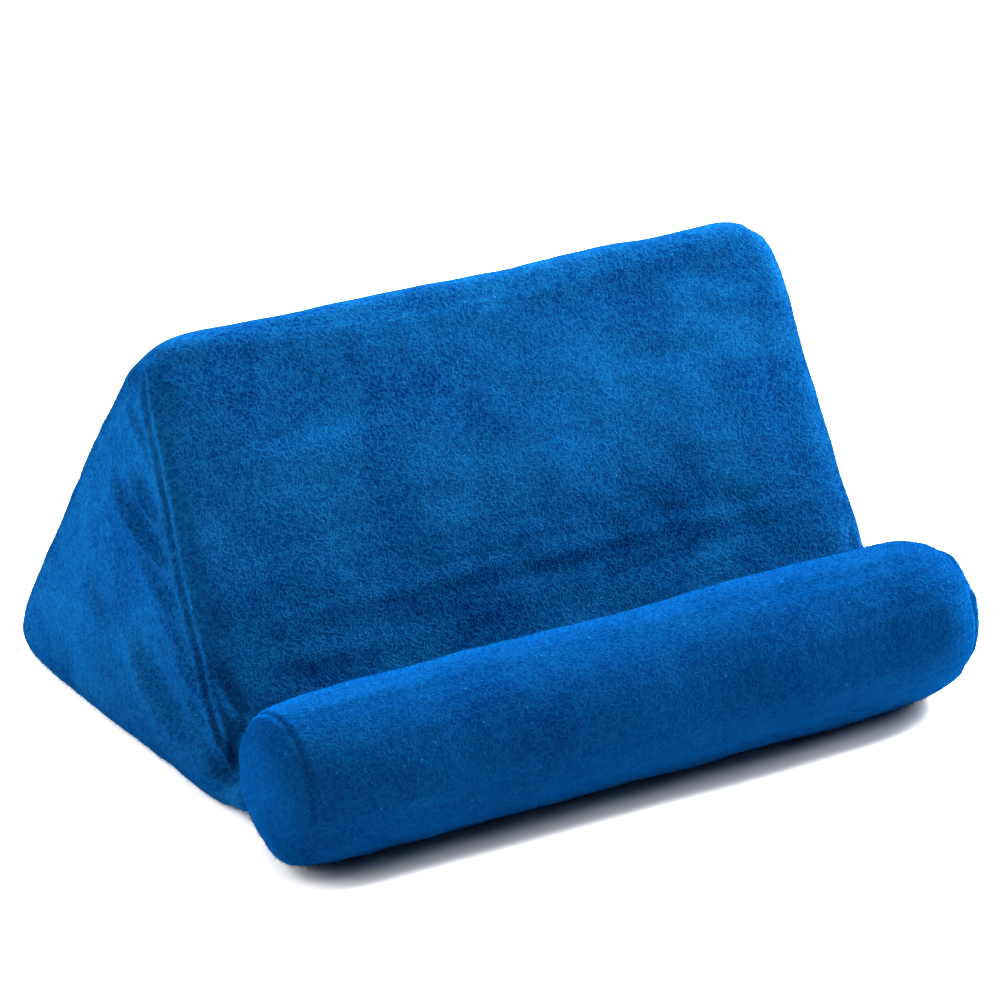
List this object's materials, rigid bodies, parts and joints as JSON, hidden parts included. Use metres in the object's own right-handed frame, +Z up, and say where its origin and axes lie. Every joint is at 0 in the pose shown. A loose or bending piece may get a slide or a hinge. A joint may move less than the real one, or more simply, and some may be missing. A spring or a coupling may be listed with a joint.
{
  "type": "tablet pillow stand",
  "caption": "Filled plush wedge cushion with a roll sewn along its front foot, to prop up a flat device on a lap, bed or table.",
  "frame": {"origin": "middle of the base, on the surface that the stand rests on", "axes": "+X along the roll, +Y towards the wedge's rear foot, +Z up"},
  "size_m": [0.262, 0.2115, 0.1382],
  "materials": {
    "plush": "short royal blue plush with a soft nap"
  },
  "bodies": {
    "root": {"wedge_cushion": "plush", "bolster_roll": "plush"}
  },
  "joints": []
}
